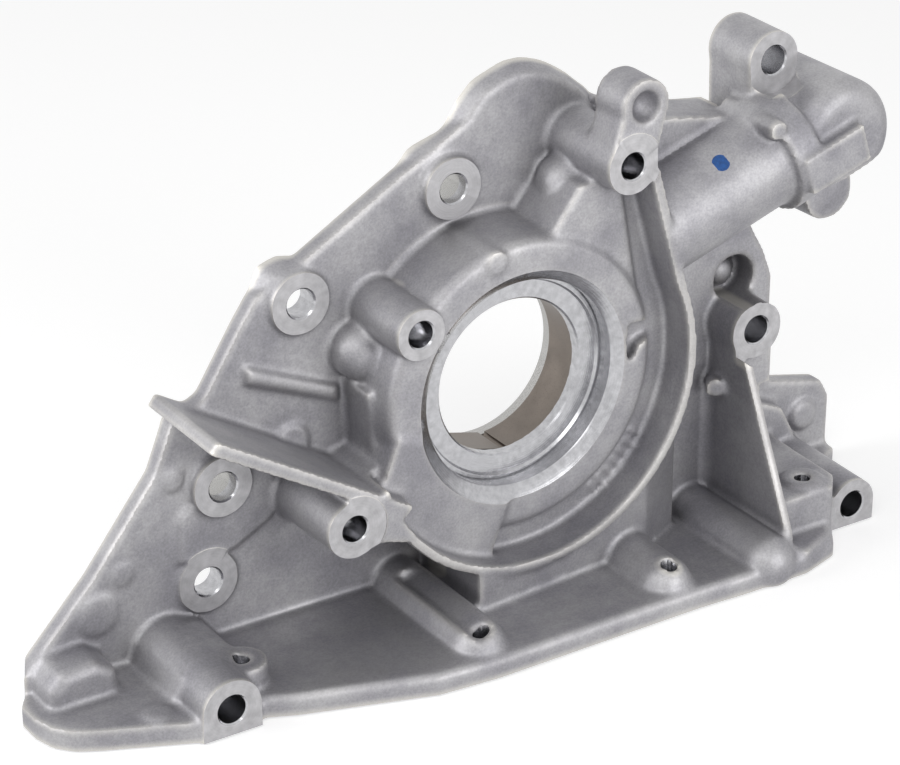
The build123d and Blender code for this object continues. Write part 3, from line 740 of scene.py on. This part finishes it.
def casting(settings):
    """Raw casting: the CAD casing with stock on its machined faces, with rounded cast edges."""
    mesh = CASING.data.copy()
    mesh.materials.clear()
    shape = bmesh.new()
    shape.from_mesh(mesh)
    bpy.data.meshes.remove(mesh)
    bmesh.ops.remove_doubles(shape, verts=shape.verts, dist=WELD)
    for point in shape.verts:
        if abs(point.co.y) < ON_FACE:
            point.co.y = settings.stock * MM
        if abs(point.co.z - SUMP_FACE * MM) < ON_FACE:
            point.co.z -= settings.stock * MM
    raw_metal(shape, settings.stock)
    piece = solid_object("pump_casing", shape, finish("cast"))
    grid = piece.modifiers.new("cast skin", "REMESH")
    grid.mode = "VOXEL"
    grid.voxel_size = settings.grid * MM
    grid.use_smooth_shade = True
    soft = piece.modifiers.new("cast rounding", "SMOOTH")
    soft.factor = 0.5
    soft.iterations = settings.rounding
    apply_modifiers(piece)
    # The skin is made of squares here, each of which counts as two triangles
    lean = piece.modifiers.new("fewer faces", "DECIMATE")
    lean.ratio = min(1.0, settings.faces / (2.0 * len(piece.data.polygons)))
    apply_modifiers(piece)
    return piece


def cut_faces(piece):
    """Mill the block face and the sump face, and face the bosses."""
    shape = bmesh.new()
    block(shape, (ROOM_LOW[0], 0.0, ROOM_LOW[2]), (ROOM_HIGH[0], MILLING_HEIGHT, ROOM_HIGH[2]))
    cut(piece, shape, "milled")
    shape = bmesh.new()
    block(shape, (ROOM_LOW[0], ROOM_LOW[1], SUMP_FACE - MILLING_HEIGHT),
          (ROOM_HIGH[0], ROOM_HIGH[1], SUMP_FACE))
    cut(piece, shape, "milled")
    for outline in (boss_disc, boss_foot):
        shape = bmesh.new()
        for name in BOSS_FACES:
            front = front_level(name)
            outline(shape, name, FACING_WIDER, front, front - FACING_HEIGHT)
        cut(piece, shape, "faced")


def cut_crank_way(piece):
    """Turn the seal seat, the rotor pocket and the cover recess."""
    shape = bmesh.new()
    above, below = HUB_FRONT + TOOL_START, POCKET_FLOOR - TOOL_START
    groove = SEAL_BORE + GROOVE_DEPTH
    profile = [
        (0.0, above), (SEAL_MOUTH + TOOL_START, above), (SEAL_MOUTH, HUB_FRONT),
        (SEAL_BORE + SEAT_CHAMFER, MOUTH_END), (SEAL_BORE, BORE_START), (SEAL_BORE, GROOVE_START),
        (groove, GROOVE_START - GROOVE_RAMP), (groove, SEAL_FLOOR), (SEAL_LAND, SEAL_FLOOR),
        (SEAL_LAND - LAND_CHAMFER, LIP_FACE), (LIP_BORE + SEAT_CHAMFER, LIP_FACE),
        (LIP_BORE, LIP_FACE - SEAT_CHAMFER), (LIP_BORE, below), (0.0, below),
    ]
    lathe(shape, profile, (0, 0, 0), (0, -1, 0), segments=160)
    cut(piece, shape, "turned")
    shape = bmesh.new()
    x, z = POCKET_CENTRE
    rod(shape, POCKET_RADIUS, POCKET_START, POCKET_FLOOR, (x * MM, 0, z * MM), (0, -1, 0), segments=160)
    cut(piece, shape, "turned")
    shape = bmesh.new()
    rod(shape, COVER_RADIUS, -TOOL_START, COVER_DEPTH, (0, 0, 0), (0, -1, 0), segments=160)
    cut(piece, shape, "turned")


def cut_holes(piece, chamfer):
    """Drill the bolt holes and the tapped holes."""
    shape = bmesh.new()
    for name in BOSS_FACES:
        mount = MOUNTS[name]
        x, _, z = mount["pos_m"]
        radius = mount["dims"]["r_mm"]
        front = front_level(name)
        through = TOOL_PAST - front
        wide = radius + chamfer
        profile = [(0.0, -TOOL_START), (wide, -TOOL_START), (wide, 0.0), (radius, chamfer)]
        if name.startswith("cover_thread"):
            depth = mount["dims"]["length_mm"]
            profile += [(radius, depth), (0.0, depth + DRILL_POINT)]
        elif name in DOWEL_SEATS:
            step = -front - DOWEL_DEPTH
            profile += [(radius, step), (DOWEL_RADIUS, step), (DOWEL_RADIUS, through), (0.0, through)]
        else:
            profile += [(radius, through), (0.0, through)]
        lathe(shape, profile, (x, front * MM, z), (0, 1, 0), segments=48)
    for name in SUMP_THREADS:
        mount = MOUNTS[name]
        x, y, _ = mount["pos_m"]
        low, high = SUMP_FACE - SUMP_START, SUMP_FACE + mount["dims"]["length_mm"] + SUMP_PAST
        rod(shape, mount["dims"]["r_mm"], 0.0, high - low, (x, y, low * MM), (0, 0, 1), segments=32)
    cut(piece, shape, "turned")


def cut_ports(piece):
    """Cut the outlet and inlet ports with their ring grooves, and the relief bore."""
    shape = bmesh.new()
    inner, outer = RING_RADIUS - RING_HALF, RING_RADIUS + RING_HALF
    for name, (way, level) in PORTS.items():
        mount = MOUNTS[name]
        place = Vector(mount["pos_m"])
        start = place - way * abs(place.dot(way) - level * MM)
        radius = mount["dims"]["r_mm"]
        wide = radius + PORT_CHAMFER
        lathe(shape, [(0.0, -TOOL_START), (wide, -TOOL_START), (wide, 0.0), (radius, PORT_CHAMFER),
                      (radius, PORT_DEPTH), (0.0, PORT_DEPTH)], start, way, segments=64)
        lathe(shape, [(inner, -TOOL_START), (outer, -TOOL_START), (outer, RING_DEPTH), (inner, RING_DEPTH)],
              start, way, segments=96, ring=True)
    x, y = RELIEF_PLACE
    top = RELIEF_SEAT - SUMP_FACE
    lathe(shape, [(0.0, -TOOL_START), (PLUG_RADIUS, -TOOL_START), (PLUG_RADIUS, PLUG_DEPTH),
                  (RELIEF_BORE, PLUG_DEPTH), (RELIEF_BORE, top), (0.0, top)],
          (x * MM, y * MM, SUMP_FACE * MM), (0, 0, 1), segments=64)
    cut(piece, shape, "turned")


def tool_places(piece):
    """Write for each point where it lies from the axis of the nearest tool, for the turning marks."""
    mesh = piece.data
    tools = [(MOUNTS[name]["pos_m"], MOUNTS[name]["axis"], HOLE_REACH * MM)
             for name in (*BOSS_FACES, *SUMP_THREADS, *PORTS)]
    tools.append(((0.0, 0.0, 0.0), (0.0, -1.0, 0.0), CRANK_REACH * MM))
    points = mesh_points(mesh)
    places = np.zeros((len(points), 3), np.float32)
    best = np.full(len(points), np.inf, np.float32)
    for origin, axis, reach in tools:
        along = Vector(axis).normalized()
        side = along.orthogonal().normalized()
        basis = np.array([side, along.cross(side), along], np.float32)
        local = (points - np.array(origin, np.float32)) @ basis.T
        away = np.hypot(local[:, 0], local[:, 1])
        score = away / reach
        closer = (away < reach) & (score < best)
        best[closer] = score[closer]
        places[closer] = local[closer]
    layer = mesh.attributes.new("tool_place", "FLOAT_VECTOR", "POINT")
    layer.data.foreach_set("vector", places.ravel())


class OILPUMP_OT_casing(bpy.types.Operator):
    """Cast, mill, drill and turn the casing"""

    bl_idname = "oil_pump.casing"
    bl_label = "Casing"

    def execute(self, context):
        settings = sizes()
        piece = casting(settings)
        cut_faces(piece)
        cut_crank_way(piece)
        cut_holes(piece, settings.chamfer)
        cut_ports(piece)
        smooth_by_angle(piece, 32.0)
        tool_places(piece)
        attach(piece, "casing")
        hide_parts("casing")
        return {"FINISHED"}


class OILPUMP_OT_rotors(bpy.types.Operator):
    """Finish the inner and the outer rotor"""

    bl_idname = "oil_pump.rotors"
    bl_label = "Rotor set"

    def execute(self, context):
        put_finish("inner_rotor", "sintered")
        put_finish("outer_rotor", "sintered")
        return {"FINISHED"}


# Rear cover and its screws


def screw_tree():
    """Geometry nodes: countersunk screws with a hexagon socket, spaced evenly on a circle."""
    tree = bpy.data.node_groups.new("screws_on_a_circle", "GeometryNodeTree")
    tree.interface.new_socket("Geometry", in_out="OUTPUT", socket_type="NodeSocketGeometry")
    tree.interface.new_socket("Count", in_out="INPUT", socket_type="NodeSocketInt")
    for name in ("Circle Radius", "First Angle", "Head Radius", "Head Depth", "Shank Radius", "Length",
                 "Shank Start", "Socket Radius", "Socket Depth"):
        tree.interface.new_socket(name, in_out="INPUT", socket_type="NodeSocketFloat")
    tree.interface.new_socket("Material", in_out="INPUT", socket_type="NodeSocketMaterial")
    given = add(tree, "NodeGroupInput").outputs
    head = add(tree, "GeometryNodeMeshCone", None,
               {"Vertices": 48, "Side Segments": 1, "Radius Top": given["Shank Radius"],
                "Radius Bottom": given["Head Radius"], "Depth": given["Head Depth"]})
    shank = add(tree, "GeometryNodeMeshCylinder", None,
                {"Vertices": 32, "Radius": given["Shank Radius"], "Depth": given["Length"]})
    half = add(tree, "ShaderNodeMath", {"operation": "MULTIPLY"}, {0: given["Length"], 1: 0.5})
    down = add(tree, "ShaderNodeMath", {"operation": "ADD"}, {0: half.outputs[0], 1: given["Shank Start"]})
    lift = add(tree, "ShaderNodeCombineXYZ", None, {"Z": down.outputs[0]})
    low = add(tree, "GeometryNodeTransform", None,
              {"Geometry": shank.outputs["Mesh"], "Translation": lift.outputs[0]})
    key = add(tree, "GeometryNodeMeshCylinder", None,
              {"Vertices": 6, "Radius": given["Socket Radius"], "Depth": given["Socket Depth"]})
    screw = add(tree, "GeometryNodeMeshBoolean", {"operation": "UNION", "solver": "EXACT"})
    tree.links.new(head.outputs["Mesh"], screw.inputs["Mesh 2"])
    tree.links.new(low.outputs[0], screw.inputs["Mesh 2"])
    bored = add(tree, "GeometryNodeMeshBoolean", {"operation": "DIFFERENCE", "solver": "EXACT"},
                {"Mesh 1": screw.outputs[0], "Mesh 2": key.outputs["Mesh"]})
    circle = add(tree, "GeometryNodeMeshCircle", None,
                 {"Vertices": given["Count"], "Radius": given["Circle Radius"]})
    turn = add(tree, "ShaderNodeCombineXYZ", None, {"Z": given["First Angle"]})
    turned = add(tree, "GeometryNodeTransform", None,
                 {"Geometry": circle.outputs[0], "Rotation": turn.outputs[0]})
    placed = add(tree, "GeometryNodeInstanceOnPoints", None,
                 {"Points": turned.outputs[0], "Instance": bored.outputs[0]})
    upright = add(tree, "GeometryNodeTransform", None,
                  {"Geometry": placed.outputs[0], "Rotation": (radians(90.0), 0.0, 0.0)})
    real = add(tree, "GeometryNodeRealizeInstances", None, {0: upright.outputs[0]})
    painted = add(tree, "GeometryNodeSetMaterial", None,
                  {"Geometry": real.outputs[0], "Material": given["Material"]})
    add(tree, "NodeGroupOutput", None, {0: painted.outputs[0]})
    return tree


def grow(name, tree, values):
    """Plain mesh object made by a geometry node tree with its named inputs."""
    piece = new_object(name, bpy.data.meshes.new(name))
    change = piece.modifiers.new("shape", "NODES")
    change.node_group = tree
    sockets = {item.name: item.identifier for item in tree.interface.items_tree if item.in_out == "INPUT"}
    for key, value in values.items():
        change[sockets[key]] = value
    apply_modifiers(piece)
    return piece


class OILPUMP_OT_rear_cover(bpy.types.Operator):
    """Finish the rear cover and its dowels, and make its screws"""

    bl_idname = "oil_pump.rear_cover"
    bl_label = "Rear cover"

    def execute(self, context):
        settings = sizes()
        put_finish("rear_cover", "ground")
        put_finish("cover_dowels", "ground")
        screws = grow("countersunk_cover_screws", screw_tree(), {
            "Count": settings.screws,
            "Circle Radius": settings.screw_circle * MM,
            "First Angle": radians(FIRST_SCREW),
            "Head Radius": HEAD_RADIUS * MM,
            "Head Depth": HEAD_DEPTH * MM,
            "Shank Radius": SHANK_RADIUS * MM,
            "Length": SHANK_LENGTH * MM,
            "Shank Start": SHANK_START * MM,
            "Socket Radius": SOCKET_RADIUS * MM,
            "Socket Depth": SOCKET_DEPTH * MM,
            "Material": finish("zinc"),
        })
        smooth_by_angle(screws, 30.0)
        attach(screws, "casing")
        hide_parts("cover_screws")
        return {"FINISHED"}


class OILPUMP_OT_relief_valve(bpy.types.Operator):
    """Finish the relief piston, its spring and its plug"""

    bl_idname = "oil_pump.relief_valve"
    bl_label = "Relief valve"

    def execute(self, context):
        put_finish("relief_piston", "ground")
        put_finish("relief_spring", "spring")
        put_finish("relief_plug", "zinc")
        return {"FINISHED"}


class OILPUMP_OT_seals_and_dowels(bpy.types.Operator):
    """Finish the O-rings and the hollow dowels"""

    bl_idname = "oil_pump.seals_and_dowels"
    bl_label = "Seals and dowels"

    def execute(self, context):
        for node in ("outlet_o_ring", "inlet_o_ring"):
            put_finish(node, "rubber")
        for node in ("block_dowel_1", "block_dowel_2"):
            put_finish(node, "ground")
        return {"FINISHED"}


class OILPUMP_OT_inspection_dot(bpy.types.Operator):
    """Dab the blue inspection dot on the outlet tube"""

    bl_idname = "oil_pump.inspection_dot"
    bl_label = "Inspection dot"

    def execute(self, context):
        lean, turn = radians(TUBE_LEAN), radians(DOT_TURN)
        along = Vector((cos(lean), 0.0, sin(lean)))
        front = Vector((0.0, -1.0, 0.0))
        up = Vector((-sin(lean), 0.0, cos(lean)))
        outward = front * cos(turn) + up * sin(turn)
        middle = (Vector(TUBE_POINT) + along * DOT_DISTANCE) * MM + outward * TUBE_RADIUS * MM
        shape = bmesh.new()
        profile = [(share * sizes().dot, height) for share, height in DOT_PROFILE]
        lathe(shape, profile, middle, outward, segments=40)
        piece = solid_object("inspection_paint_dot", shape, finish("paint"))
        smooth_by_angle(piece, 40.0)
        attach(piece, "casing")
        return {"FINISHED"}


# Studio


def softbox(name, place, power):
    """Square soft lamp aimed at the part."""
    data = bpy.data.lights.new(name, "AREA")
    data.shape = "SQUARE"
    data.size = SOFTBOX_WIDTH
    data.energy = power
    lamp = new_object(name, data)
    lamp.location = place
    lamp.rotation_euler = (Vector(SOFTBOX_AIM) - Vector(place)).to_track_quat("-Z", "Y").to_euler()


def white_world():
    """World that is white to the camera, in reflections and through glass, and soft light for the rest."""
    world = bpy.data.worlds.new("studio")
    bpy.context.scene.world = world
    world.use_nodes = True
    tree = world.node_tree
    tree.nodes.clear()
    strength = spread(tree, seen_rays(tree), WORLD_FILL, 1.0)
    sky = add(tree, "ShaderNodeBackground", None, {"Color": WHITE, "Strength": strength})
    add(tree, "ShaderNodeOutputWorld", None, {"Surface": sky.outputs[0]})


def photo_camera():
    """Camera at the photograph's viewing angle."""
    data = bpy.data.cameras.new("camera")
    data.lens = CAMERA_LENS
    data.sensor_width = CAMERA_SENSOR
    camera = new_object("camera", data)
    camera.location = CAMERA_PLACE
    camera.rotation_euler = (radians(CAMERA_TILT), 0.0, radians(CAMERA_TURN))
    bpy.context.scene.camera = camera


class OILPUMP_OT_stage(bpy.types.Operator):
    """Set up the floor, the lamps, the world and the camera"""

    bl_idname = "oil_pump.stage"
    bl_label = "Studio"

    def execute(self, context):
        ground = Matrix.Translation((0, 0, cad_box[0][2]))
        shape = bmesh.new()
        bmesh.ops.create_grid(shape, x_segments=1, y_segments=1, size=FLOOR_SIZE, matrix=ground)
        mesh = bpy.data.meshes.new("floor")
        shape.to_mesh(mesh)
        shape.free()
        mesh.materials.append(finish("floor"))
        floor = new_object("floor", mesh)
        for name, (place, power) in SOFTBOXES.items():
            softbox(name, place, power)
        white_world()
        photo_camera()
        context.scene.view_settings.view_transform = "Standard"
        return {"FINISHED"}


STEPS = (
    OILPUMP_OT_casing,
    OILPUMP_OT_rotors,
    OILPUMP_OT_rear_cover,
    OILPUMP_OT_relief_valve,
    OILPUMP_OT_seals_and_dowels,
    OILPUMP_OT_inspection_dot,
    OILPUMP_OT_stage,
)


class OILPUMP_PT_panel(bpy.types.Panel):
    """Steps and settings of the oil pump"""

    bl_label = "Oil pump"
    bl_idname = "OILPUMP_PT_panel"
    bl_space_type = "VIEW_3D"
    bl_region_type = "UI"
    bl_category = "Oil pump"

    def draw(self, context):
        for step in STEPS:
            self.layout.operator(step.bl_idname)
        for group in (sizes(), looks()):
            for key in group.__annotations__:
                self.layout.prop(group, key)


CLASSES = (OilPumpSizes, OilPumpLooks, *STEPS, OILPUMP_PT_panel)


def register():
    """Register the classes and the settings."""
    for each in CLASSES:
        bpy.utils.register_class(each)
    bpy.types.Scene.oil_pump_sizes = PointerProperty(type=OilPumpSizes)
    bpy.types.Scene.oil_pump_looks = PointerProperty(type=OilPumpLooks)


def unregister():
    """Remove the settings and the classes."""
    del bpy.types.Scene.oil_pump_looks
    del bpy.types.Scene.oil_pump_sizes
    for each in reversed(CLASSES):
        bpy.utils.unregister_class(each)


def main():
    """Build every piece and the studio."""
    register()
    for step in STEPS:
        group, name = step.bl_idname.split(".")
        getattr(getattr(bpy.ops, group), name)()


if __name__ == "__main__":
    main()
